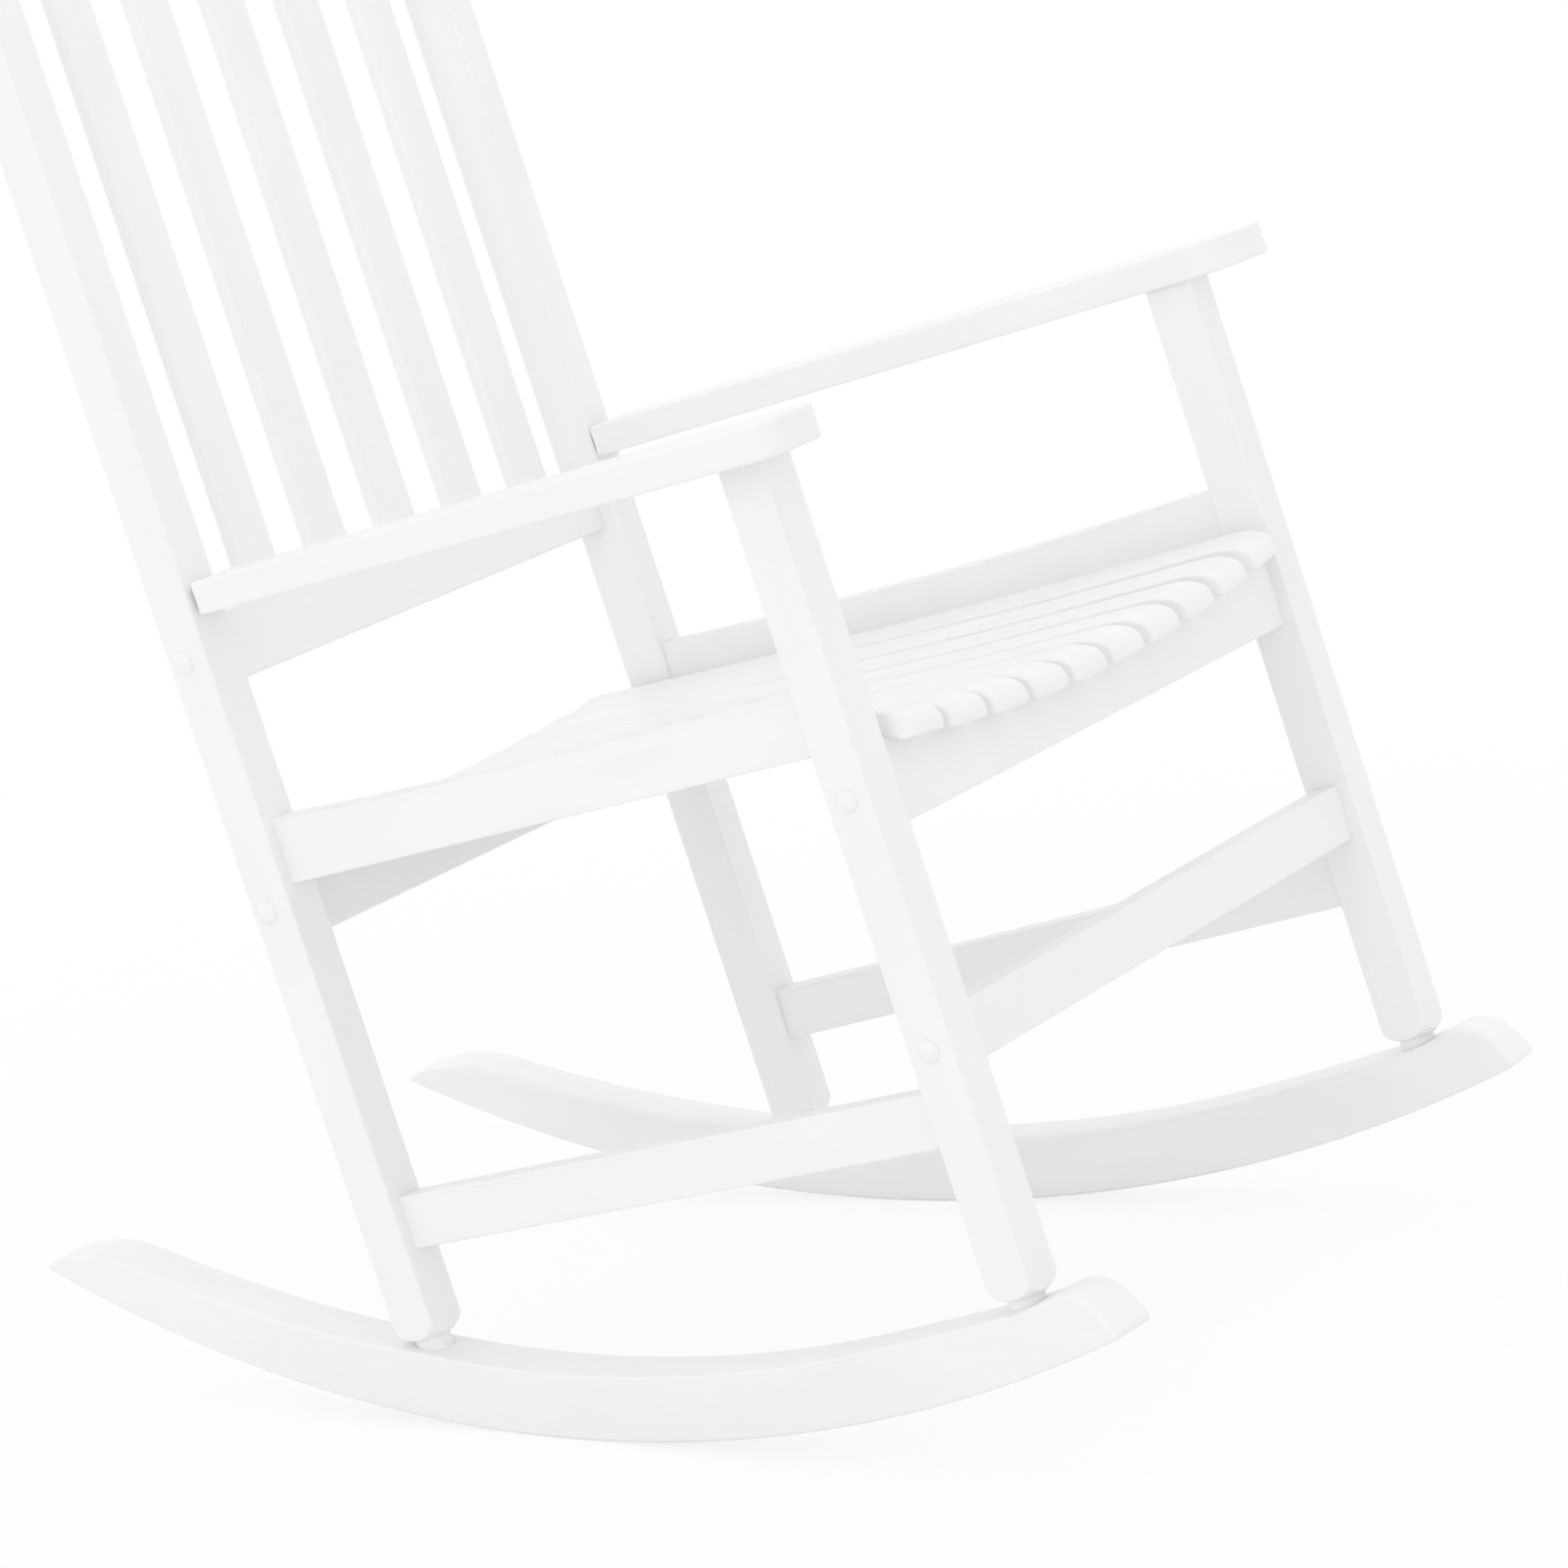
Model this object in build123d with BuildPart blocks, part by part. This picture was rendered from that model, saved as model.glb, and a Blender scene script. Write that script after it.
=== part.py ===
from build123d import *
import os
from math import cos, radians, sin, sqrt

# Slatted porch rocking chair, painted white. All sizes are in millimetres.
# Pieces are laid out with the posts upright: X across, Y towards the back, Z up the posts.
# The "rest" location then leans the whole chair back on its rockers, with the floor at Z = 0.

# ---- posts ----
half_width = 290.0        # outer face of a post, level with the back face of the front posts
splay = 4.2               # degrees by which each side closes in towards the back
post_wide = 32.0          # size of a post across the chair
post_deep = 33.6          # size of a post front to back
post_gap = 448.4          # clear distance between the front and rear post of one side
post_top = 1104.0         # height of the rear posts
foot_gap = 5.4            # round tenon left showing between a post and its rocker
dome_height = 17.0        # rounded end of a post
edge_round = 1.6          # softened edges of the posts and rails
tenon_dia = 24.0          # round tenon of a post in its rocker
tenon_deep = 24.0

# ---- rockers ----
rocker_wide = 40.0
rocker_depth = 45.0
rocker_radius = 1064.0    # underside
rocker_centre_y = 151.4   # centre of the underside curve
rocker_drop = 94.5        # lowest place of that curve, below the level that heights are taken from
rocker_centre_z = rocker_radius - rocker_drop
rocker_front = -90.0
rocker_rear = 772.0
crown_front = 110.0       # the top edge keeps an even depth between these two places
crown_rear = 450.0
hollow_y = -10.0          # shallow hollow under the front posts
hump_y = -49.0            # raised hump ahead of them
swell_y = 583.0
toe_round = 4.0
tip_round = 3.2
rocker_round = 2.5        # softened edges of the rockers
stand_half = 13.8         # the two arcs of the underside meet this far behind the place it stands on

# ---- armrests ----
arm_under = 503.5         # underside, and the shoulder of the front posts
arm_thick = 22.0
arm_front = 72.0          # reach of the outer front corner ahead of the front post's back face
arm_slant = 14.0          # the inner front corner lies this much further back
arm_out = 38.0            # overhang outside the front post
arm_in = 8.0              # overhang inside the front post
arm_out_bow = 2.0         # bow of the long outer edge
arm_in_bow = 2.0          # bow of the long inner edge
arm_back_wide = 40.0      # width where it meets the rear post
arm_outer_round = 20.0
arm_inner_round = 20.0
arm_back_round = 15.0
arm_front_bow = 4.0       # bow of the front edge
arm_tail_round = 8.5      # rear end, rounded off above and below
arm_edge_round = 2.0
tongue_size = 20.0        # square tongue of the front post inside the armrest
tongue_high = 13.0

# ---- side rails and side stretchers ----
side_thick = 19.5
side_inset = 9.3          # from the outer face of the posts
side_rail_above = 2.5     # lower edge above the middle of the seat
side_rail_deep = 44.5
side_rail_dip = 5.0       # hollow along the top edge
stretcher_low = 65.5
stretcher_high = 101.5
tenon_long = 18.0
tenon_thick = 10.0
tenon_shoulder = 6.0

# ---- rails across the chair ----
rail_thick = 20.0
front_rail_face = -27.0
rear_rail_face = 457.0
front_stretcher_low = 110.0
front_stretcher_high = 148.0
front_rail_below = 53.5   # lower edges of the seat's rails, below the middle of the seat
rear_rail_below = 36.0
back_rail_low = 453.5
back_rail_high = 499.5
crest_below = 32.0        # ends of the crest rail, below the top of the posts
crest_end_deep = 54.0
crest_mid_deep = 74.0

# ---- back slats ----
back_slat_count = 5
back_slat_wide = 39.0
back_slat_thick = 10.0
back_slat_side = 130.6    # from the outside of the front posts to the middle of the outer slats
back_slat_set = 0.5       # slats stand back from the front face of the rails
back_tenon_long = 15.0
back_tenon_wide = 33.0
back_tenon_thick = 6.0

# ---- seat slats ----
seat_slat_count = 10
seat_slat_thick = 14.0
seat_height = 316.0       # top of the seat in the middle, above the front posts
seat_front_end = -48.0
seat_rear_end = 507.0
seat_front_side = 61.4    # from the outside of the front posts to the middle of the outer slats, in front
seat_rear_side = 93.35    # and at the back
seat_slat_gap = 2.7       # between slats at the back
seat_front_dish = 15.5    # how much higher the outermost slat lies than the middle
seat_rear_dish = 6.5
seat_rear_rise = 16.3     # rise of a slat from front to back
seat_bend_y = 303.9       # a place on the way up, and its share of the rise
seat_bend_share = 0.43
seat_level_y = 110.0      # the slats are nearly level ahead of here
seat_level_rise = 0.6
seat_brow_y = -20.0       # and roll down ahead of here
seat_brow_drop = 0.4
seat_nose_drop = 9.5
seat_nose_back = 1.5      # the foot of the nose lies this much back
seat_nose_thin = 1.0      # and the nose is this much thinner
seat_nose_under = 3.0
seat_nose_round = 12.0    # upper edge of the nose
seat_corner_round = 12.0  # outer front corners of the seat, seen from above
housing_depth = 1.2       # how far the slats are let into the rails
slat_edge_round = 2.2     # softened edges of seat and back slats
slat_end_round = 3.0

# ---- bolts, caps and dowels ----
bolt_dia = 6.0
bolt_head_dia = 12.0
bolt_head_high = 3.8
bolt_past_nut = 6.0
bore_dia = 13.2           # counterbore under each cap
bore_deep = 7.0
cap_dia = 15.5
cap_high = 4.2
cap_stem_dia = 13.0
nut_dia = 10.0
nut_long = 12.0
nut_wall = 2.5            # wood left in front of a barrel nut
nut_from_end = 24.0
bolt_lead = 1.0           # bolts start this much behind the middle of their rail
dowel_dia = 8.0
dowel_half = 15.0         # half length, in each of the two pieces it joins
front_stretcher_bolt = 128.5
front_rail_bolt = 27.0    # below the middle of the seat
rear_rail_bolt = 11.0
back_rail_bolt = 476.5
crest_bolt_above = 30.0   # above the lower edge of the crest rail
dowel_below = 13.0        # dowel centre below its bolt
hole_spare = 0.8          # how much deeper a hole is than what goes into it
glue_gap = 0.15           # all round a tenon or dowel in its hole
pin_gap = 0.05            # round a bolt in its hole

# ---- how the chair stands ----
lean = 11.95              # posts from the vertical, which puts the weight right above the touching point

t = radians(splay)
tip_back = radians(lean)
side_tilt = sin(tip_back) * sin(t)      # the splayed rockers stand this much out of the vertical
reach = sqrt(1 - side_tilt**2)
edge_y = rocker_centre_y * cos(t) + ((rocker_wide - post_wide) / 2 - rocker_round) * sin(t)
ball = rocker_radius - rocker_round       # the floor meets the softened outer edge of each rocker
floor_z = rocker_centre_z * cos(tip_back) - edge_y * sin(tip_back) - ball * reach - rocker_round
floor_y = rocker_centre_z * sin(tip_back) + edge_y * cos(tip_back)
floor_y = floor_y - ball * side_tilt * sin(t) * cos(tip_back) / reach
rest = Location((0, -floor_y, -floor_z)) * Location((0, 0, 0), (-lean, 0, 0))
right = -1                # the sitter's right lies towards -X
left = 1

side_rail_low = seat_height + side_rail_above
side_rail_high = side_rail_low + side_rail_deep
front_rail_low = seat_height - front_rail_below
rear_rail_low = seat_height - rear_rail_below
half_slats = (seat_slat_count - 1) / 2
seat_front_pitch = (half_width - seat_front_side) / half_slats
seat_rear_pitch = (half_width - seat_rear_side) / half_slats
seat_slat_wide = seat_rear_pitch - seat_slat_gap
crest_end_high = post_top - crest_below
crest_low = crest_end_high - crest_end_deep
crest_mid_high = crest_low + crest_mid_deep
crest_bolt = crest_low + crest_bolt_above
back_slat_pitch = (half_width - back_slat_side) / ((back_slat_count - 1) / 2)


def laid(**setting):
    """Plane given in the upright layout, moved to where the chair rests."""
    return Plane(rest * Plane(**setting).location)


def outward(side):
    return Vector(side * cos(t), sin(t), 0)


def backward(side):
    return Vector(-side * sin(t), cos(t), 0)


def side_plane(side, inset=0.0):
    """Profile plane of one side: x runs back, y runs up the posts, inset from the posts' outer face."""
    start = Vector(side * half_width, 0, 0) - outward(side) * inset
    return laid(origin=start, x_dir=backward(side), z_dir=outward(side) * side)


def plan_plane(side, height):
    """Plan of one side at a height: x runs back, side * y runs in from the posts' outer face."""
    return laid(origin=(side * half_width, 0, height), x_dir=backward(side), z_dir=(0, 0, 1))


def cross_plane(y):
    """Plane across the chair, facing the front: x runs to the sitter's left, y runs up."""
    return laid(origin=(0, y, 0), x_dir=(1, 0, 0), z_dir=(0, -1, 0))


def back_face_plane(side, inset):
    """Plane square to the side at the front face of the rear post: x runs outward, y runs up."""
    start = Vector(side * half_width, 0, 0) - outward(side) * inset + backward(side) * post_gap
    return laid(origin=start, x_dir=outward(side), z_dir=outward(side).cross(Vector(0, 0, 1)))


def side_name(side):
    return "left" if side == left else "right"


def save(piece, name):
    piece.label = name
    export_step(piece, "parts/" + name + ".step")


os.makedirs("parts", exist_ok=True)


# ---- rockers ----
crown_radius = rocker_radius - rocker_depth


def under(y):
    return rocker_centre_z - sqrt(rocker_radius**2 - (y - rocker_centre_y) ** 2)


def crown(y):
    return rocker_centre_z - sqrt(crown_radius**2 - (y - rocker_centre_y) ** 2)


def on_rocker(y, share):
    """Point above the underside by a share of the rocker's depth."""
    return (y, under(y) + share * rocker_depth)


front_post_y = -post_deep / 2
rear_post_y = post_gap + post_deep / 2
hollow_share = 0.905      # depth at the hollow, of the full depth
front_foot = on_rocker(front_post_y, hollow_share)[1] + foot_gap
rear_foot = crown(rear_post_y) + foot_gap

for side in (right, left):
    with BuildPart() as rocker:
        with BuildSketch(side_plane(side, (post_wide - rocker_wide) / 2)) as profile:
            with BuildLine():
                toe = (rocker_front, under(rocker_front))
                heel = (rocker_rear, under(rocker_rear))
                middle = (crown_front + crown_rear) / 2
                stand_y = rocker_centre_y + rocker_radius * sin(tip_back) + stand_half
                stand = (stand_y, under(stand_y))
                ahead = (toe[0] + stand_y) / 2
                behind = (stand_y + heel[0]) / 2
                ThreePointArc(toe, (ahead, under(ahead)), stand)
                ThreePointArc(stand, (behind, under(behind)), heel)
                top = ThreePointArc((crown_rear, crown(crown_rear)), (middle, crown(middle)),
                                    (crown_front, crown(crown_front)))
                hollow = TangentArc(top @ 1, on_rocker(hollow_y, hollow_share), tangent=top % 1)
                lift = TangentArc(hollow @ 1, on_rocker(hump_y, 0.895), tangent=hollow % 1)
                hump = TangentArc(lift @ 1, on_rocker(rocker_front + 0.29 * rocker_depth, 0.545),
                                  tangent=lift % 1)
                TangentArc(hump @ 1, toe, tangent=hump % 1)
                rise = ThreePointArc(top @ 0, on_rocker(swell_y, 0.985),
                                     on_rocker(rocker_rear - 1.75 * rocker_depth, 0.885))
                TangentArc(rise @ 1, heel, tangent=rise % 1)
            make_face()
            fillet(profile.vertices().sort_by(Axis.X)[0], toe_round)
            fillet(profile.vertices().sort_by(Axis.X)[-1], tip_round)
        extrude(amount=-side * rocker_wide)
        fillet(rocker.faces().filter_by(GeomType.PLANE).sort_by(SortBy.AREA)[-2:].edges(), rocker_round)
        for q, foot in ((front_post_y, front_foot), (rear_post_y, rear_foot)):
            with BuildSketch(plan_plane(side, foot - foot_gap - tenon_deep - hole_spare)):
                with Locations((q, side * post_wide / 2)):
                    Circle(tenon_dia / 2 + glue_gap)
            extrude(amount=3 * tenon_deep, mode=Mode.SUBTRACT)
    save(rocker.part, side_name(side) + "_rocker")


# ---- where the rails across the chair are bolted ----
def bolt_line(face):
    """Distance back, along the side, of the bolts into a rail with its front face at this Y."""
    return (face + rail_thick / 2) / cos(t) + bolt_lead


front_heights = (front_stretcher_bolt, seat_height - front_rail_bolt)
rear_heights = (seat_height - rear_rail_bolt, back_rail_bolt, crest_bolt)
front_bolts = [(bolt_line(front_rail_face), z) for z in front_heights]
rear_bolts = [(bolt_line(rear_rail_face), z) for z in rear_heights]


def cut_post_bores(side, bolts):
    """Counterbore and bolt hole through a post, and the dowel hole in its inner face."""
    for q, z in bolts:
        with BuildSketch(side_plane(side)) as shape:
            with Locations((q, z)):
                Circle(bore_dia / 2)
        extrude(shape.sketch, amount=-side * bore_deep, mode=Mode.SUBTRACT)
        with BuildSketch(side_plane(side)) as shape:
            with Locations((q, z)):
                Circle(bolt_dia / 2 + pin_gap)
        extrude(shape.sketch, amount=-side * post_wide, mode=Mode.SUBTRACT)
        with BuildSketch(side_plane(side, post_wide)) as shape:
            with Locations((q, z - dowel_below)):
                Circle(dowel_dia / 2 + glue_gap)
        extrude(shape.sketch, amount=side * (dowel_half + hole_spare), mode=Mode.SUBTRACT)


def cut_rail_bores(side, q, z):
    """Bolt hole, dowel hole and barrel nut hole at one end of a rail across the chair."""
    with BuildSketch(side_plane(side, post_wide)) as shape:
        with Locations((q, z)):
            Circle(bolt_dia / 2 + pin_gap)
    extrude(shape.sketch, amount=-side * (nut_from_end + bolt_past_nut + hole_spare), mode=Mode.SUBTRACT)
    with BuildSketch(side_plane(side, post_wide)) as shape:
        with Locations((q, z - dowel_below)):
            Circle(dowel_dia / 2 + glue_gap)
    extrude(shape.sketch, amount=-side * (dowel_half + hole_spare), mode=Mode.SUBTRACT)
    back_face = rail_face(q) + rail_thick
    with BuildSketch(cross_plane(back_face)) as shape:
        with Locations((nut_x(side, q), z)):
            Circle(nut_dia / 2 + pin_gap)
    extrude(shape.sketch, amount=rail_thick - nut_wall, mode=Mode.SUBTRACT)


def rail_face(q):
    return (q - bolt_lead) * cos(t) - rail_thick / 2


def nut_x(side, q):
    """Sideways place of a barrel nut, on the line of its bolt."""
    return side * (half_width - (post_wide + nut_from_end) * cos(t) - q * sin(t))


# ---- posts ----
def cut_dome(side, q, end, up):
    """Round a post's end all the way round, as turned, leaving the round tenon's width at the tip."""
    way = 1 if up else -1
    corner = sqrt(post_wide**2 + post_deep**2) / 2 + 1.0
    with BuildSketch(side_plane(side, post_wide / 2)) as shape:
        with BuildLine():
            inner = (q + tenon_dia / 2, end)
            outer = (q + corner, end - way * dome_height)
            TangentArc(outer, inner, tangent=(0, way))
            Polyline(inner, (q + tenon_dia / 2, end + way * 5), (q + 2 * corner, end + way * 5),
                     (q + 2 * corner, end - way * dome_height), outer)
        make_face()
    start = side_plane(side, post_wide / 2).from_local_coords((q, end, 0))
    revolve(shape.sketch, axis=Axis(start, side_plane(side).y_dir), mode=Mode.SUBTRACT)


def cut_mortise(side, q_face, way, low, high):
    """Mortise for a side rail or stretcher in a post face, running back (1) or forward (-1)."""
    with BuildSketch(side_plane(side, side_inset + (side_thick - tenon_thick) / 2 - glue_gap)) as shape:
        with Locations((q_face + way * tenon_long / 2, (low + high) / 2)):
            Rectangle(tenon_long + 2 * hole_spare, high - low - 2 * tenon_shoulder + 2 * glue_gap)
    extrude(shape.sketch, amount=-side * (tenon_thick + 2 * glue_gap), mode=Mode.SUBTRACT)


def post_blank(side, q, foot, top):
    with BuildSketch(plan_plane(side, foot)) as shape:
        with Locations((q, side * post_wide / 2)):
            RectangleRounded(post_deep, post_wide, edge_round)
    extrude(shape.sketch, amount=top - foot)
    cut_dome(side, q, foot, up=False)
    with BuildSketch(plan_plane(side, foot + dome_height)) as shape:
        with Locations((q, side * post_wide / 2)):
            Circle(tenon_dia / 2)
    extrude(shape.sketch, amount=-(dome_height + foot_gap + tenon_deep))


side_pieces = ((side_rail_low, side_rail_high), (stretcher_low, stretcher_high))
for side in (right, left):
    with BuildPart() as front_post:
        post_blank(side, front_post_y, front_foot, arm_under)
        with BuildSketch(plan_plane(side, arm_under - tongue_high)):
            with Locations((front_post_y, side * post_wide / 2)):
                Rectangle(tongue_size, tongue_size)
        extrude(amount=2 * tongue_high)
        cut_post_bores(side, front_bolts)
        for low, high in side_pieces:
            cut_mortise(side, 0.0, -1, low, high)
    save(front_post.part, side_name(side) + "_front_post")

    with BuildPart() as rear_post:
        post_blank(side, rear_post_y, rear_foot, post_top)
        cut_dome(side, rear_post_y, post_top, up=True)
        cut_post_bores(side, rear_bolts)
        for low, high in side_pieces:
            cut_mortise(side, post_gap, 1, low, high)
        with BuildSketch(back_face_plane(side, arm_back_wide / 2)):
            with Locations((0, arm_under + arm_thick / 2)):
                Circle(dowel_dia / 2 + glue_gap)
        extrude(amount=-side * (dowel_half + hole_spare), mode=Mode.SUBTRACT)
    save(rear_post.part, side_name(side) + "_rear_post")


# ---- armrests ----
for side in (right, left):
    with BuildPart() as arm:
        with BuildSketch(plan_plane(side, arm_under)) as outline:
            with BuildLine():
                outer_back = (post_gap, 0)
                inner_back = (post_gap, side * arm_back_wide)
                outer_front = (-arm_front, -side * arm_out)
                inner_front = (arm_slant - arm_front, side * (post_wide + arm_in))
                outer_middle = ((post_gap - arm_front) / 2, -side * (arm_out / 2 + arm_out_bow))
                inner_wide = (arm_back_wide + post_wide + arm_in) / 2 + arm_in_bow
                inner_middle = ((post_gap + arm_slant - arm_front) / 2, side * inner_wide)
                front_middle_x = (outer_front[0] + inner_front[0]) / 2 - arm_front_bow
                front_middle = (front_middle_x, (outer_front[1] + inner_front[1]) / 2)
                ThreePointArc(outer_back, outer_middle, outer_front)
                ThreePointArc(outer_front, front_middle, inner_front)
                ThreePointArc(inner_front, inner_middle, inner_back)
                Line(inner_back, outer_back)
            make_face()
            for corner, radius in (
                (outer_back, arm_back_round),
                (inner_back, arm_back_round),
                (inner_front, arm_inner_round),
                (outer_front, arm_outer_round),
            ):
                fillet(outline.vertices().sort_by_distance(corner)[0], radius)
        extrude(amount=arm_thick)
        faces = arm.faces().filter_by(GeomType.PLANE).sort_by(SortBy.AREA)[-2:]
        fillet(faces.edges(), arm_edge_round)
        arm_wide = arm_out + post_wide + arm_in
        with BuildSketch(side_plane(side, -arm_wide)) as tail:
            with Locations((post_gap, arm_under)):
                Rectangle(2 * post_gap, arm_thick, align=(Align.MAX, Align.MIN))
            fillet(tail.vertices().sort_by(Axis.X)[-2:], arm_tail_round)
        extrude(amount=-side * 3 * arm_wide, mode=Mode.INTERSECT)
        with BuildSketch(plan_plane(side, arm_under)):
            with Locations((front_post_y, side * post_wide / 2)):
                Rectangle(tongue_size + 2 * glue_gap, tongue_size + 2 * glue_gap)
        extrude(amount=tongue_high + hole_spare, mode=Mode.SUBTRACT)
        with BuildSketch(back_face_plane(side, arm_back_wide / 2)):
            with Locations((0, arm_under + arm_thick / 2)):
                Circle(dowel_dia / 2 + glue_gap)
        extrude(amount=side * (dowel_half + hole_spare), mode=Mode.SUBTRACT)
    save(arm.part, side_name(side) + "_arm")

# ---- side rails and side stretchers ----
for side in (right, left):
    for name, low, high, dip in (
        ("seat_rail", side_rail_low, side_rail_high, side_rail_dip),
        ("stretcher", stretcher_low, stretcher_high, 0.0),
    ):
        with BuildPart() as bar:
            with BuildSketch(side_plane(side, side_inset)):
                with BuildLine():
                    Polyline((0, high), (0, low), (post_gap, low), (post_gap, high))
                    if dip:
                        ThreePointArc((post_gap, high), (post_gap / 2, high - dip), (0, high))
                    else:
                        Line((post_gap, high), (0, high))
                make_face()
            extrude(amount=-side * side_thick)
            ends = bar.faces().sort_by(SortBy.AREA)[:2].edges()
            fillet([e for e in bar.edges() if e not in ends], edge_round)
            with BuildSketch(side_plane(side, side_inset + (side_thick - tenon_thick) / 2)):
                with Locations((post_gap / 2, (low + high) / 2)):
                    Rectangle(post_gap + 2 * tenon_long, high - low - 2 * tenon_shoulder)
            extrude(amount=-side * tenon_thick)
        save(bar.part, side_name(side) + "_side_" + name)


# ---- seat slats ----
def seat_plane(number):
    """Profile plane of one seat slat: x runs back along it, y is its own up, from the seat's top."""
    share = number / half_slats - 1
    front_half = half_slats * seat_front_pitch
    rear_half = half_slats * seat_rear_pitch
    start = Vector(share * front_half, seat_front_end, seat_height + seat_front_dish * share**2)
    end = Vector(share * rear_half, seat_rear_end, seat_height + seat_rear_dish * share**2)
    along = (end - start).normalized()
    slope = share * (seat_front_dish / front_half + seat_rear_dish / rear_half)
    across = along.cross(Vector(-slope, 0, 1)).normalized()
    return laid(origin=start - along * seat_front_end, x_dir=along, z_dir=across)


def seat_plan(number):
    """Plan of one seat slat: x runs back along it, y runs to the sitter's right."""
    profile = seat_plane(number)
    return Plane(origin=profile.origin, x_dir=profile.x_dir, z_dir=profile.y_dir)


def seat_slat_profile():
    """Long gentle rise to the back, with the front end rolled down."""
    back = (seat_rear_end, seat_rear_rise)
    bend = (seat_bend_y, seat_bend_share * seat_rear_rise)
    level = (seat_level_y, seat_level_rise)
    brow = (seat_brow_y, -seat_brow_drop)
    nose = (seat_front_end, -seat_nose_drop)
    foot = (nose[0] + seat_nose_back, nose[1] - seat_slat_thick + seat_nose_thin)
    ThreePointArc(back, bend, level)
    flat = Line(level, brow)
    TangentArc(brow, nose, tangent=flat % 1)
    tail = Line(back, (back[0], back[1] - seat_slat_thick))
    beneath = ThreePointArc(tail @ 1, (bend[0], bend[1] - seat_slat_thick),
                            (level[0], level[1] - seat_slat_thick))
    floor = Line(beneath @ 1, (brow[0] - seat_nose_under, brow[1] - seat_slat_thick))
    Polyline(floor @ 1, foot, nose)


def cut_seat_housings():
    for number in range(seat_slat_count):
        with BuildSketch(seat_plane(number)) as shape:
            with BuildLine():
                seat_slat_profile()
            make_face()
        extrude(shape.sketch, amount=seat_slat_wide / 2, both=True, mode=Mode.SUBTRACT)


for number in range(seat_slat_count):
    with BuildPart() as seat_slat:
        with BuildSketch(seat_plane(number)) as profile:
            with BuildLine():
                seat_slat_profile()
            make_face()
            fillet(profile.vertices().sort_by(Axis.X)[-2:], slat_end_round)
            fillet(profile.vertices().sort_by(Axis.X)[1], slat_end_round)
            fillet(profile.vertices().sort_by(Axis.X)[0], seat_nose_round)
        extrude(amount=seat_slat_wide / 2, both=True)
        sides = seat_slat.faces().filter_by(GeomType.PLANE).sort_by(SortBy.AREA)[-2:]
        fillet(sides.edges(), slat_edge_round)
        if number in (0, seat_slat_count - 1):
            with BuildSketch(seat_plan(number)) as plan:
                with Locations((seat_front_end, 0)):
                    Rectangle(2 * seat_rear_end, seat_slat_wide, align=(Align.MIN, Align.CENTER))
                corner = plan.vertices().sort_by(Axis.X)[:2].sort_by(Axis.Y)[0 if number else -1]
                fillet(corner, seat_corner_round)
            extrude(amount=2 * seat_slat_thick, both=True, mode=Mode.INTERSECT)
    save(seat_slat.part, "seat_slat_" + str(number + 1))


# ---- rails across the chair ----
def trim_to_posts():
    """Cut both ends of a rail to meet the inner faces of the posts."""
    for side in (right, left):
        split(bisect_by=side_plane(side, post_wide), keep=Keep.BOTTOM if side == left else Keep.TOP)


def straight_rail(low, high):
    with Locations((0, (low + high) / 2)):
        Rectangle(2 * half_width, high - low)


def dished_rail(low, middle, rise, reach):
    """Rail outline with a hollow top, rising by "rise" at "reach" from the middle."""
    end = rise * (half_width / reach) ** 2
    Polyline((-half_width, middle + end), (-half_width, low), (half_width, low), (half_width, middle + end))
    ThreePointArc((-half_width, middle + end), (0, middle), (half_width, middle + end))


def rise_at(y):
    """Rise of the seat slats at a rail, close enough to set the rail's blank before the housings are cut."""
    return seat_rear_rise * max(y, 0.0) / seat_rear_end


seat_under = seat_height - seat_slat_thick + housing_depth

with BuildPart() as front_stretcher:
    with BuildSketch(cross_plane(front_rail_face)):
        straight_rail(front_stretcher_low, front_stretcher_high)
    extrude(amount=-rail_thick)
    fillet(front_stretcher.edges().filter_by(Axis.X), edge_round)
    trim_to_posts()
    for side in (right, left):
        cut_rail_bores(side, *front_bolts[0])
save(front_stretcher.part, "front_stretcher")

with BuildPart() as front_seat_rail:
    with BuildSketch(cross_plane(front_rail_face)):
        with BuildLine():
            dished_rail(front_rail_low, seat_under - 0.8, seat_front_dish, half_slats * seat_front_pitch)
        make_face()
    extrude(amount=-rail_thick)
    fillet(front_seat_rail.edges().sort_by(SortBy.LENGTH)[-4:], edge_round)
    trim_to_posts()
    cut_seat_housings()
    for side in (right, left):
        cut_rail_bores(side, *front_bolts[1])
save(front_seat_rail.part, "front_seat_rail")

with BuildPart() as rear_seat_rail:
    with BuildSketch(cross_plane(rear_rail_face)):
        with BuildLine():
            dished_rail(rear_rail_low, seat_under + rise_at(rear_rail_face), seat_rear_dish,
                        half_slats * seat_rear_pitch)
        make_face()
    extrude(amount=-rail_thick)
    fillet(rear_seat_rail.edges().sort_by(SortBy.LENGTH)[-4:], edge_round)
    trim_to_posts()
    cut_seat_housings()
    for side in (right, left):
        cut_rail_bores(side, *rear_bolts[0])
save(rear_seat_rail.part, "rear_seat_rail")


# ---- back ----
slat_places = [(i - (back_slat_count - 1) / 2) * back_slat_pitch for i in range(back_slat_count)]
back_slat_y = rear_rail_face + back_slat_set + back_slat_thick / 2


def cut_slat_mortises(z, way):
    """Mortises for the back slats, from a rail's edge at z, up (1) or down (-1) into it."""
    with BuildSketch(laid(origin=(0, 0, z - way), x_dir=(1, 0, 0), z_dir=(0, 0, 1))) as shape:
        with Locations([(x, back_slat_y) for x in slat_places]):
            Rectangle(back_tenon_wide + 2 * glue_gap, back_tenon_thick + 2 * glue_gap)
    extrude(shape.sketch, amount=way * (back_tenon_long + hole_spare + 1), mode=Mode.SUBTRACT)


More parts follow.
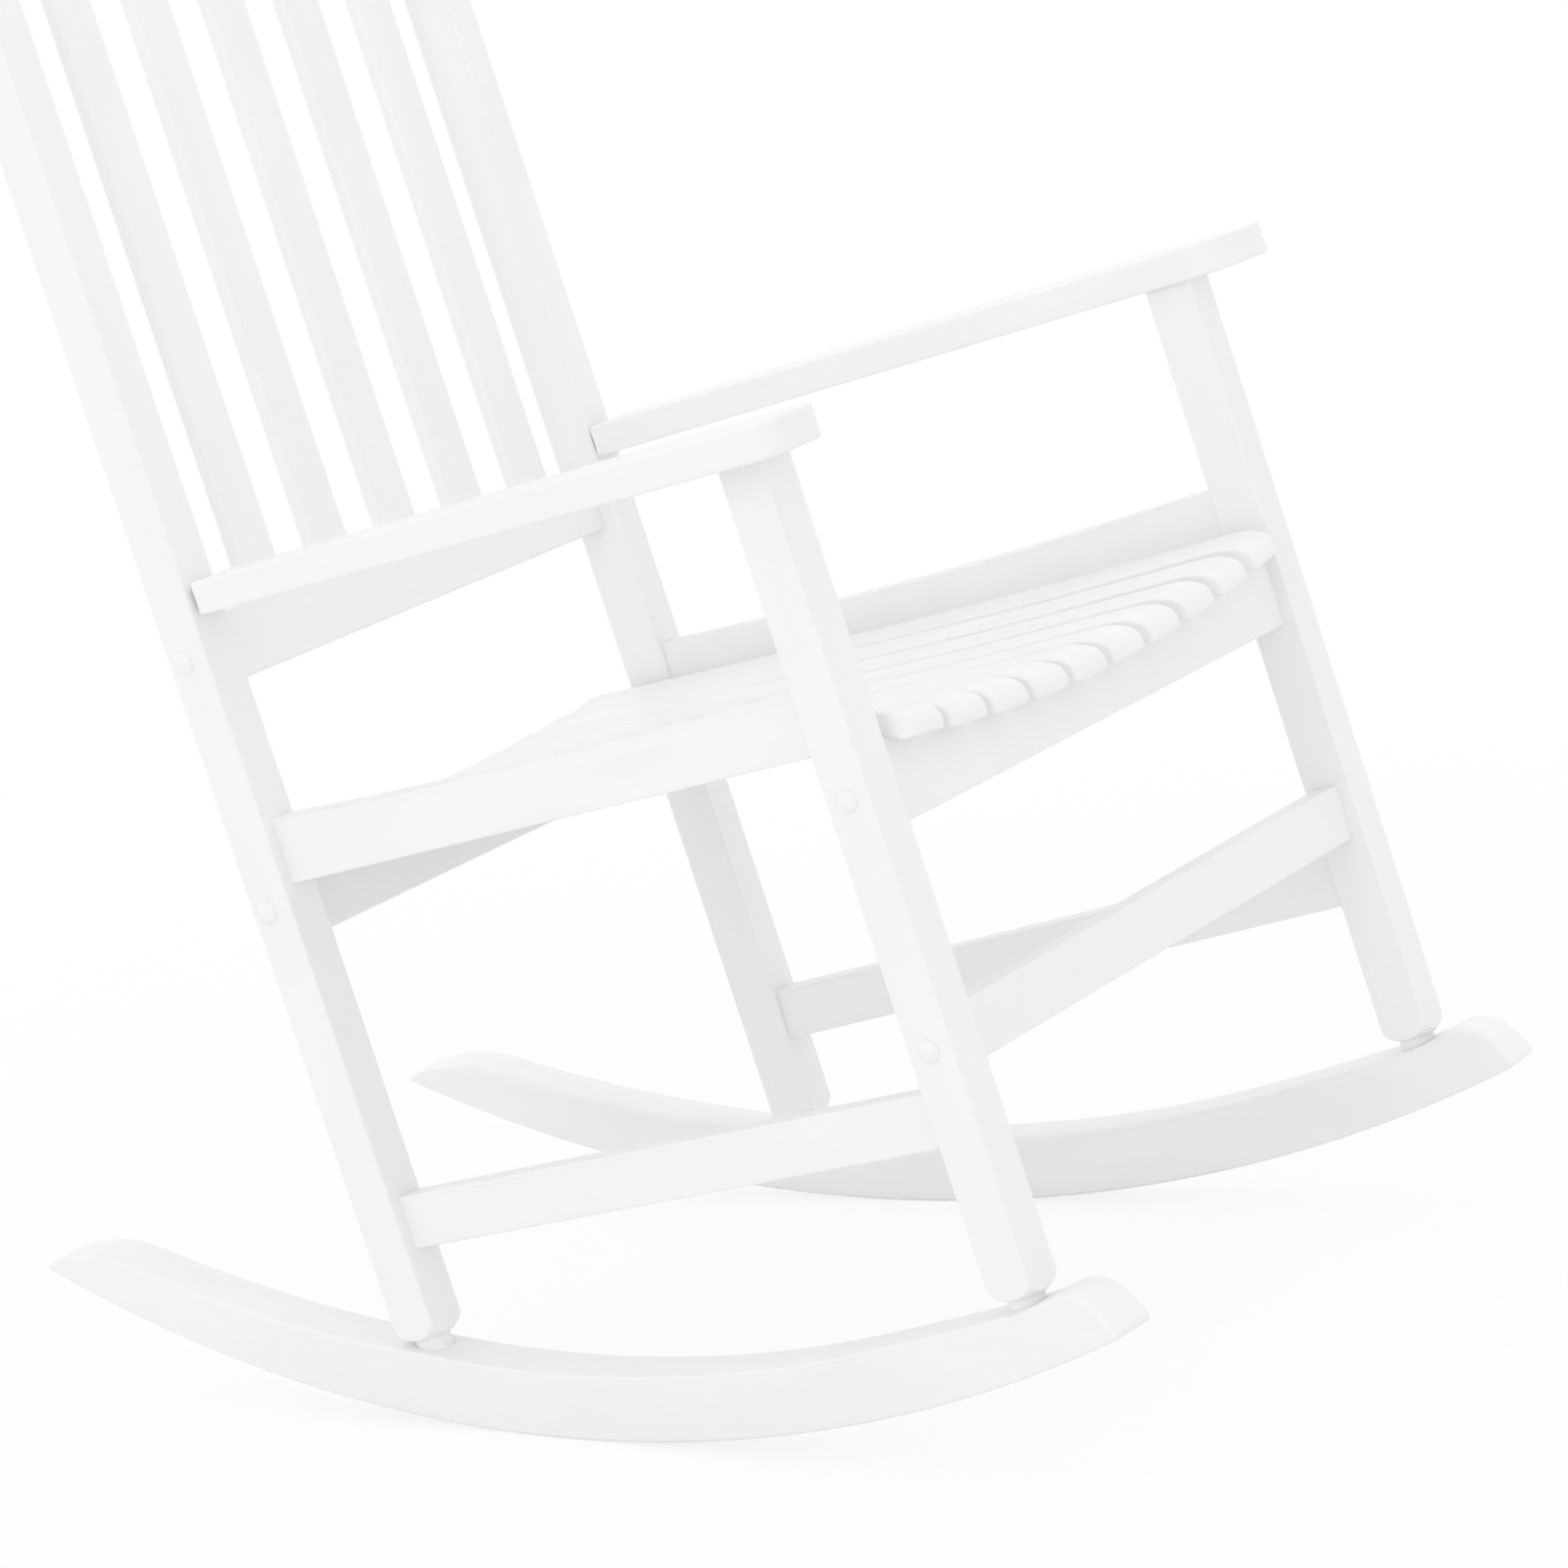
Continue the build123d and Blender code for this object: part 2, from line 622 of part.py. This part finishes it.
with BuildPart() as back_lower_rail:
    with BuildSketch(cross_plane(rear_rail_face)):
        straight_rail(back_rail_low, back_rail_high)
    extrude(amount=-rail_thick)
    fillet(back_lower_rail.edges().filter_by(Axis.X), edge_round)
    trim_to_posts()
    cut_slat_mortises(back_rail_high, -1)
    for side in (right, left):
        cut_rail_bores(side, *rear_bolts[1])
save(back_lower_rail.part, "back_lower_rail")

with BuildPart() as crest_rail:
    with BuildSketch(cross_plane(rear_rail_face)):
        with BuildLine():
            Polyline((-half_width, crest_end_high), (-half_width, crest_low), (half_width, crest_low),
                     (half_width, crest_end_high))
            ThreePointArc((-half_width, crest_end_high), (0, crest_mid_high), (half_width, crest_end_high))
        make_face()
    extrude(amount=-rail_thick)
    fillet(crest_rail.edges().sort_by(SortBy.LENGTH)[-4:], edge_round)
    trim_to_posts()
    cut_slat_mortises(crest_low, 1)
    for side in (right, left):
        cut_rail_bores(side, *rear_bolts[2])
save(crest_rail.part, "crest_rail")

for number, x in enumerate(slat_places):
    with BuildPart() as back_slat:
        with BuildSketch(laid(origin=(0, 0, back_rail_high), x_dir=(1, 0, 0), z_dir=(0, 0, 1))):
            with Locations((x, back_slat_y)):
                RectangleRounded(back_slat_wide, back_slat_thick, slat_edge_round)
        extrude(amount=crest_low - back_rail_high)
        with BuildSketch(laid(origin=(0, 0, back_rail_high - back_tenon_long), z_dir=(0, 0, 1))):
            with Locations((x, back_slat_y)):
                Rectangle(back_tenon_wide, back_tenon_thick)
        extrude(amount=crest_low - back_rail_high + 2 * back_tenon_long)
    save(back_slat.part, "back_slat_" + str(number + 1))


# ---- bolts, barrel nuts, caps and dowels ----
def bolt_plane(side, q, z):
    """Plane through a bolt's line: x runs outward from the post's outer face."""
    flat = side_plane(side)
    return Plane(origin=flat.from_local_coords((q, z, 0)), x_dir=flat.z_dir * side, z_dir=flat.x_dir)


bolt_places = [(side, q, z) for side in (right, left) for q, z in front_bolts + rear_bolts]

rim_high = 0.6            # straight rim of a cap, below its dome
dome_high = cap_high - rim_high
dome_radius = ((cap_dia / 2) ** 2 + dome_high**2) / (2 * dome_high)
dome_point = (cap_high - dome_radius + sqrt(dome_radius**2 - (cap_dia / 4) ** 2), cap_dia / 4)

with BuildPart() as bolt_caps:
    for side, q, z in bolt_places:
        line = bolt_plane(side, q, z)
        with BuildSketch(line):
            with BuildLine():
                stem = bore_deep - bolt_head_high - hole_spare
                rim = Polyline((cap_high, 0), (-stem, 0), (-stem, cap_stem_dia / 2), (0, cap_stem_dia / 2),
                               (0, cap_dia / 2), (rim_high, cap_dia / 2))
                ThreePointArc(rim @ 1, dome_point, rim @ 0)
            make_face()
        revolve(axis=Axis(line.origin, line.x_dir))
save(bolt_caps.part, "bolt_caps")

with BuildPart() as bolts:
    for side, q, z in bolt_places:
        line = bolt_plane(side, q, z)
        with BuildSketch(line):
            with BuildLine():
                end = -(post_wide + nut_from_end + bolt_past_nut)
                Polyline((-bore_deep + bolt_head_high, 0), (-bore_deep + bolt_head_high, bolt_head_dia / 2),
                         (-bore_deep, bolt_head_dia / 2), (-bore_deep, bolt_dia / 2), (end + 1, bolt_dia / 2),
                         (end, bolt_dia / 2 - 1), (end, 0), close=True)
            make_face()
        revolve(axis=Axis(line.origin, line.x_dir))
save(bolts.part, "bolts")

with BuildPart() as barrel_nuts:
    for side, q, z in bolt_places:
        with BuildSketch(cross_plane(rail_face(q) + nut_wall)):
            with Locations((nut_x(side, q), z)):
                Circle(nut_dia / 2)
        extrude(amount=-nut_long)
    for side, q, z in bolt_places:
        with BuildSketch(side_plane(side, post_wide)):
            with Locations((q, z)):
                Circle(bolt_dia / 2 + pin_gap)
        extrude(amount=-side * 2 * nut_from_end, mode=Mode.SUBTRACT)
save(barrel_nuts.part, "barrel_nuts")

with BuildPart() as rail_dowels:
    for side, q, z in bolt_places:
        with BuildSketch(side_plane(side, post_wide)):
            with Locations((q, z - dowel_below)):
                Circle(dowel_dia / 2)
        extrude(amount=dowel_half, both=True)
save(rail_dowels.part, "rail_dowels")

with BuildPart() as arm_dowels:
    for side in (right, left):
        with BuildSketch(back_face_plane(side, arm_back_wide / 2)):
            with Locations((0, arm_under + arm_thick / 2)):
                Circle(dowel_dia / 2)
        extrude(amount=dowel_half, both=True)
save(arm_dowels.part, "arm_dowels")
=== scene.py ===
from math import radians
import bpy
import numpy as np
from mathutils import Euler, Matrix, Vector

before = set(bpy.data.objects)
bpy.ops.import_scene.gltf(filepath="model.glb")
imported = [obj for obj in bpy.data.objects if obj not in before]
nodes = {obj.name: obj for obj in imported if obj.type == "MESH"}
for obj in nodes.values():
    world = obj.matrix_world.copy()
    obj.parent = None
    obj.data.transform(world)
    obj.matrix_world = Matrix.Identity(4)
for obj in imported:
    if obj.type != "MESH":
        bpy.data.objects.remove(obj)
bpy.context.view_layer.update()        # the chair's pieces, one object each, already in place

print("loaded", len(nodes), "pieces")


# one output of a node, which can be used in sums and products
class Signal:
    def __init__(self, graph, socket):
        self.graph = graph
        self.socket = socket

    def math(self, operation, first, second):
        return self.graph.node("ShaderNodeMath", {"operation": operation}, {0: first, 1: second})

    def __add__(self, other):
        return self.math("ADD", self, other)

    def __radd__(self, other):
        return self.math("ADD", other, self)

    def __sub__(self, other):
        return self.math("SUBTRACT", self, other)

    def __rsub__(self, other):
        return self.math("SUBTRACT", other, self)

    def __mul__(self, other):
        return self.math("MULTIPLY", self, other)

    def __rmul__(self, other):
        return self.math("MULTIPLY", other, self)

    # keep the value between two limits and stretch what lies between to 0..1
    def between(self, low, high):
        return self.graph.node("ShaderNodeMapRange", {"interpolation_type": "SMOOTHSTEP"},
                               {"Value": self, "From Min": low, "From Max": high})


# the nodes of one material, or of the studio around the chair
class Graph:
    def __init__(self, name, world=False):
        kind = bpy.data.worlds if world else bpy.data.materials
        self.owner = kind.new(name)
        self.owner.use_nodes = True
        self.tree = self.owner.node_tree
        self.tree.nodes.clear()

    # settings go in first, then plain values and links
    def node(self, kind, settings=None, inputs=None, output=0):
        made = self.tree.nodes.new(kind)
        for key, value in (settings or {}).items():
            setattr(made, key, value)
        for key, value in (inputs or {}).items():
            if isinstance(value, Signal):
                self.tree.links.new(value.socket, made.inputs[key])
            else:
                made.inputs[key].default_value = value
        return Signal(self, made.outputs[output]) if made.outputs else None

    def place(self):
        return self.node("ShaderNodeTexCoord", None, None, "Object")

    def dot(self, vector, way):
        return self.node("ShaderNodeVectorMath", {"operation": "DOT_PRODUCT"},
                         {0: vector, 1: tuple(way)}, "Value")

    # the colour sockets of a Mix node are numbers 6 and 7, and its colour output is number 2
    def mixColor(self, share, first, second):
        return self.node("ShaderNodeMix", {"data_type": "RGBA"}, {0: share, 6: first, 7: second}, 2)

    def noise(self, vector, scale, detail, roughness):
        return self.node("ShaderNodeTexNoise", None,
                         {"Vector": vector, "Scale": scale, "Detail": detail, "Roughness": roughness})

    # painted shade: 1 deep in a joint or corner, where the occlusion test finds little open sky, 0 on an open
    # face
    def creaseShade(self, reach, limits):
        clear = self.node("ShaderNodeAmbientOcclusion", {"samples": 8, "inside": False},
                          {"Distance": reach}, "AO")
        return 1 - clear.between(*limits)

    # the height is in metres
    def relief(self, height):
        return self.node("ShaderNodeBump", None, {"Strength": 1.0, "Distance": 1.0, "Height": height})

    # 1 for what is seen directly, in a shiny surface or through glass, 0 for light on matt surfaces
    def straightOrShiny(self):
        seen = [self.node("ShaderNodeLightPath", None, None, ray)
                for ray in ("Is Camera Ray", "Is Glossy Ray", "Is Transmission Ray")]
        return self.node("ShaderNodeMath", {"operation": "ADD", "use_clamp": True},
                         {0: seen[0] + seen[1], 1: seen[2]})

    def finish(self, surface, kind="ShaderNodeOutputMaterial"):
        self.node(kind, None, {"Surface": surface})
        return self.owner


# long, wide and thin directions of a board, from its own points
def boardWays(piece):
    points = np.empty(len(piece.data.vertices) * 3, np.float32)
    piece.data.vertices.foreach_get("co", points)
    points = points.reshape(-1, 3).astype(float)
    spread = points - (points.min(0) + points.max(0)) / 2
    ways = np.linalg.eigh(spread.T @ spread)[1]        # one in each column, the longest last
    long, wide = ways[:, 2], ways[:, 1]
    long = long * (1 if long[np.abs(long).argmax()] > 0 else -1)
    wide = wide * (1 if wide[np.abs(wide).argmax()] > 0 else -1)
    return Vector(long), Vector(wide), Vector(np.cross(long, wide))


# white satin paint on planed wood; lengths and depths are in metres
paint = {
    "white": (0.915, 0.915, 0.915, 1),     # a fresh coat
    "shade": (0.887, 0.887, 0.886, 1),     # where the coat is thinner over the grain
    "cloudShare": 0.55,                    # what the shade follows: slow changes along the board,
    "brushShare": 0.2,                     # brush marks
    "poreShare": 0.25,                     # and open grain
    "creaseShade": (0.66, 0.66, 0.65, 1),       # painted shade in the joints and corners
    "creaseReach": 0.003,
    "creaseOpen": (0.25, 0.8),             # share of open sky at which it is full, and gone
    "creaseStrength": 0.36,
    "creaseGrain": 0.4,                    # how far the grain breaks it up
    "gloss": 0.42,                         # roughness of the satin coat
    "glossChange": 0.10,
    "glossMiddle": 0.4,                    # the tone that has just that roughness
    "creaseDull": 0.3,
    "brushWidth": 0.0011,                  # one bristle mark
    "brushLength": 0.07,
    "brushRange": (0.35, 0.75),
    "brushDepth": 0.00002,
    "grainWidth": 0.0035,
    "grainLength": 0.16,
    "grainShift": 3.7,                     # so that no two boards have the same grain
    "poreRange": (0.6, 0.74),              # only the deepest lines of the grain still show
    "grainDepth": 0.00003,
    "dimpleSize": 0.0024,                  # the fine unevenness that spraying leaves
    "dimpleDepth": 0.000018,
    "cloudWidth": 0.04,
    "cloudLength": 0.12,
    "cloudShift": 1.9,
    "cloudRange": (0.3, 0.7),
    "ior": 1.5,
}


def paintedBoard(name, ways, seed):
    graph = Graph(name)
    place = graph.place()
    along, across, through = (graph.dot(place, way) for way in ways)

    # the same board seen with its length squeezed, so that spots become streaks
    def streaks(width, length, shift):
        return graph.node("ShaderNodeCombineXYZ", None, {
            0: along * (1 / length) + shift, 1: across * (1 / width), 2: through * (1 / width)})

    brushStreaks = streaks(paint["brushWidth"], paint["brushLength"], seed)
    grainStreaks = streaks(paint["grainWidth"], paint["grainLength"], seed * paint["grainShift"])
    cloudStreaks = streaks(paint["cloudWidth"], paint["cloudLength"], seed * paint["cloudShift"])
    brush = graph.noise(brushStreaks, 1.0, detail=2.0, roughness=0.55)
    grain = graph.noise(grainStreaks, 1.0, detail=4.0, roughness=0.6)
    cloud = graph.noise(cloudStreaks, 1.0, detail=2.0, roughness=0.5)
    dimple = graph.noise(place, 1 / paint["dimpleSize"], detail=2.0, roughness=0.5)
    pores = grain.between(*paint["poreRange"])

    tone = (cloud.between(*paint["cloudRange"]) * paint["cloudShare"]
            + brush.between(*paint["brushRange"]) * paint["brushShare"] + pores * paint["poreShare"])
    broken = (1 - paint["creaseGrain"]) + paint["creaseGrain"] * grain
    # painted shade: the colour darkens in joints and corners that the occlusion test finds closed in, broken
    # up a little by the grain
    paintedCreaseShade = graph.creaseShade(paint["creaseReach"], paint["creaseOpen"]) * paint["creaseStrength"] * broken
    color = graph.mixColor(tone, paint["white"], paint["shade"])
    color = graph.mixColor(paintedCreaseShade, color, paint["creaseShade"])

    height = brush * paint["brushDepth"] + dimple * paint["dimpleDepth"] - pores * paint["grainDepth"]
    rough = (paint["gloss"] + (tone - paint["glossMiddle"]) * paint["glossChange"]
             + paintedCreaseShade * paint["creaseDull"])
    return graph.finish(graph.node("ShaderNodeBsdfPrincipled", None, {
        "Base Color": color, "Roughness": rough, "Normal": graph.relief(height), "IOR": paint["ior"]}))


# white push-in caps over the bolts
cap = {
    "white": (0.9, 0.9, 0.9, 1),
    "shade": (0.85, 0.85, 0.845, 1),
    "gloss": 0.24,
    "mottleSize": 0.0016,
    "mottleDepth": 0.00002,
    "scuffs": 260.0,                       # in a metre
    "scuffRange": (0.55, 0.75),
    "scuffShare": 0.5,
    "scuffDull": 0.14,
    "creaseReach": 0.002,                  # round the rim, where the colour is darkened as painted shade
    "creaseOpen": (0.3, 0.9),
    "creaseShare": 0.5,
    "ior": 1.5,
}


def capPlastic():
    graph = Graph("capPlastic")
    place = graph.place()
    mottle = graph.noise(place, 1 / cap["mottleSize"], detail=2.0, roughness=0.5)
    scuff = graph.noise(place, cap["scuffs"], detail=5.0, roughness=0.65).between(*cap["scuffRange"])
    # painted shade round the rim, mixed with the scuffs into the darker colour
    paintedCreaseShade = graph.creaseShade(cap["creaseReach"], cap["creaseOpen"])
    share = scuff * cap["scuffShare"] + paintedCreaseShade * cap["creaseShare"]
    return graph.finish(graph.node("ShaderNodeBsdfPrincipled", None, {
        "Base Color": graph.mixColor(share, cap["white"], cap["shade"]),
        "Roughness": cap["gloss"] + scuff * cap["scuffDull"],
        "Normal": graph.relief(mottle * cap["mottleDepth"]),
        "IOR": cap["ior"]}))


# zinc plated steel of the bolts and barrel nuts
steel = {
    "bright": (0.62, 0.63, 0.65, 1),
    "dull": (0.42, 0.43, 0.44, 1),
    "spangles": 700.0,                     # in a metre
    "spangleRange": (0.35, 0.7),
    "gloss": 0.3,
    "spangleDull": 0.2,
    "turningWidth": 0.0003,
    "turningDepth": 0.00002,
}


def zincSteel():
    graph = Graph("zincSteel")
    place = graph.place()
    spangle = graph.noise(place, steel["spangles"], detail=4.0, roughness=0.6).between(*steel["spangleRange"])
    turning = graph.noise(place, 1 / steel["turningWidth"], detail=1.0, roughness=0.4)
    return graph.finish(graph.node("ShaderNodeBsdfPrincipled", None, {
        "Base Color": graph.mixColor(spangle, steel["bright"], steel["dull"]),
        "Metallic": 1.0,
        "Roughness": steel["gloss"] + spangle * steel["spangleDull"],
        "Normal": graph.relief(turning * steel["turningDepth"])}))


# bare beech of the dowels
beech = {
    "pale": (0.66, 0.47, 0.29, 1),
    "dark": (0.48, 0.31, 0.17, 1),
    "flecks": (60, 900, 900),              # in a metre, along and across the chair's width
    "fleckRange": (0.35, 0.7),
    "fleckDepth": 0.00008,
    "gloss": 0.62,
    "fleckDull": 0.2,
    "ior": 1.45,
}


def bareBeech():
    graph = Graph("bareBeech")
    squeezed = graph.node("ShaderNodeMapping", {"vector_type": "POINT"},
                          {"Vector": graph.place(), "Scale": beech["flecks"]})
    fleck = graph.noise(squeezed, 1.0, detail=4.0, roughness=0.6)
    return graph.finish(graph.node("ShaderNodeBsdfPrincipled", None, {
        "Base Color": graph.mixColor(fleck.between(*beech["fleckRange"]), beech["pale"], beech["dark"]),
        "Roughness": beech["gloss"] + fleck * beech["fleckDull"],
        "Normal": graph.relief(fleck * beech["fleckDepth"]),
        "IOR": beech["ior"]}))


def dress(piece, material):
    piece.data.materials.clear()
    piece.data.materials.append(material)


hardware = {
    "bolt_caps": capPlastic(),
    "bolts": zincSteel(),
    "rail_dowels": bareBeech(),
}
hardware["barrel_nuts"] = hardware["bolts"]
hardware["arm_dowels"] = hardware["rail_dowels"]
boardShift = 1.37        # from one board's place in the grain to the next one's

for number, name in enumerate(sorted(nodes)):
    if name in hardware:
        dress(nodes[name], hardware[name])
    else:
        dress(nodes[name], paintedBoard("paint_" + name, boardWays(nodes[name]), boardShift * number))
print("painted", len(nodes) - len(hardware), "boards, finished", len(hardware), "sets of hardware")


# a pale floor that runs into the white around it; lengths are in metres
floorLook = {
    "radius": 9.0,
    "corners": 96,
    "color": (0.93, 0.93, 0.93, 1),
    "speckle": (0.9, 0.9, 0.9, 1),
    "speckleSize": 0.011,
    "shadow": 0.16,                        # how much of the chair's shadow is left near it
    "shadowStart": 0.9,                    # from the middle to where the shadow begins to fade
    "shadowEnd": 2.2,
}


def paleFloor():
    graph = Graph("paleFloor")
    place = graph.place()
    distance = graph.node("ShaderNodeVectorMath", {"operation": "LENGTH"}, {0: place}, "Value")
    speckle = graph.noise(place, 1 / floorLook["speckleSize"], detail=3.0, roughness=0.5)
    color = graph.mixColor(speckle, floorLook["color"], floorLook["speckle"])
    matt = graph.node("ShaderNodeBsdfDiffuse", None, {"Color": color})
    white = graph.node("ShaderNodeEmission", None, {"Color": (1, 1, 1, 1), "Strength": 1.0})
    near = 1 - distance.between(floorLook["shadowStart"], floorLook["shadowEnd"])
    share = graph.straightOrShiny() * (1 - floorLook["shadow"] * near)
    return graph.finish(graph.node("ShaderNodeMixShader", None, {0: share, 1: matt, 2: white}))


def makeFloor():
    ring = [(floorLook["radius"] * np.cos(a), floorLook["radius"] * np.sin(a), 0.0)
            for a in np.linspace(0, 2 * np.pi, floorLook["corners"], endpoint=False)]
    mesh = bpy.data.meshes.new("floor")
    mesh.from_pydata(ring, [], [tuple(range(len(ring)))])
    mesh.materials.append(paleFloor())
    floor = bpy.data.objects.new("floor", mesh)
    bpy.context.scene.collection.objects.link(floor)


makeFloor()
print("laid the floor")


# soft studio light: a white tent all round, and four large lamps; places in metres, power in watts
studio = {
    "horizon": 1.0,                        # light from the walls of the tent
    "overhead": 0.93,                      # and from its roof
    "lamps": {
        "sideLight": {"place": (-4.2, -0.3, 2.4), "size": 2.4, "power": 13.0},
        "farLight": {"place": (4.0, 0.6, 1.2), "size": 2.6, "power": 5.0},
        "backLight": {"place": (0.6, 4.2, 1.4), "size": 2.6, "power": 8.0},
        "topLight": {"place": (0.0, 0.3, 4.2), "size": 2.6, "power": 8.0},
    },
    "aim": (0.0, 0.0, 0.45),
}


def makeWorld():
    graph = Graph("studio", world=True)
    way = graph.node("ShaderNodeTexCoord", None, None, "Generated")
    height = graph.dot(way, (0, 0, 1)).between(0.0, 1.0)
    strength = studio["horizon"] + (studio["overhead"] - studio["horizon"]) * height
    even = graph.node("ShaderNodeBackground", None, {"Color": (1, 1, 1, 1), "Strength": strength})
    white = graph.node("ShaderNodeBackground", None, {"Color": (1, 1, 1, 1), "Strength": 1.0})
    both = graph.node("ShaderNodeMixShader", None, {0: graph.straightOrShiny(), 1: even, 2: white})
    bpy.context.scene.world = graph.finish(both, "ShaderNodeOutputWorld")


def makeLamp(name, place, size, power):
    lamp = bpy.data.lights.new(name, "AREA")
    lamp.shape = "DISK"
    lamp.size = size
    lamp.energy = power
    holder = bpy.data.objects.new(name, lamp)
    holder.location = place
    holder.rotation_euler = (Vector(studio["aim"]) - Vector(place)).to_track_quat("-Z", "Y").to_euler()
    bpy.context.scene.collection.objects.link(holder)


makeWorld()
for name, lamp in studio["lamps"].items():
    makeLamp(name, **lamp)
bpy.context.scene.view_settings.view_transform = "Standard"
print("lit the studio")


camera = {
    "place": (-3.489125, -2.33604, 1.286876),
    "turn": (77.4084, 7.92399, -58.77745),      # degrees; the camera is rolled a little
    "lens": 147.622,                            # millimetres
    "sensor": 36.0,
    "nearest": 0.1,                             # metres
    "furthest": 60.0,
}


def makeCamera():
    lens = bpy.data.cameras.new("camera")
    lens.lens = camera["lens"]
    lens.sensor_width = camera["sensor"]
    lens.clip_start = camera["nearest"]
    lens.clip_end = camera["furthest"]
    holder = bpy.data.objects.new("camera", lens)
    holder.location = camera["place"]
    holder.rotation_euler = Euler([radians(angle) for angle in camera["turn"]])
    bpy.context.scene.collection.objects.link(holder)
    bpy.context.scene.camera = holder


makeCamera()
print("placed the camera")
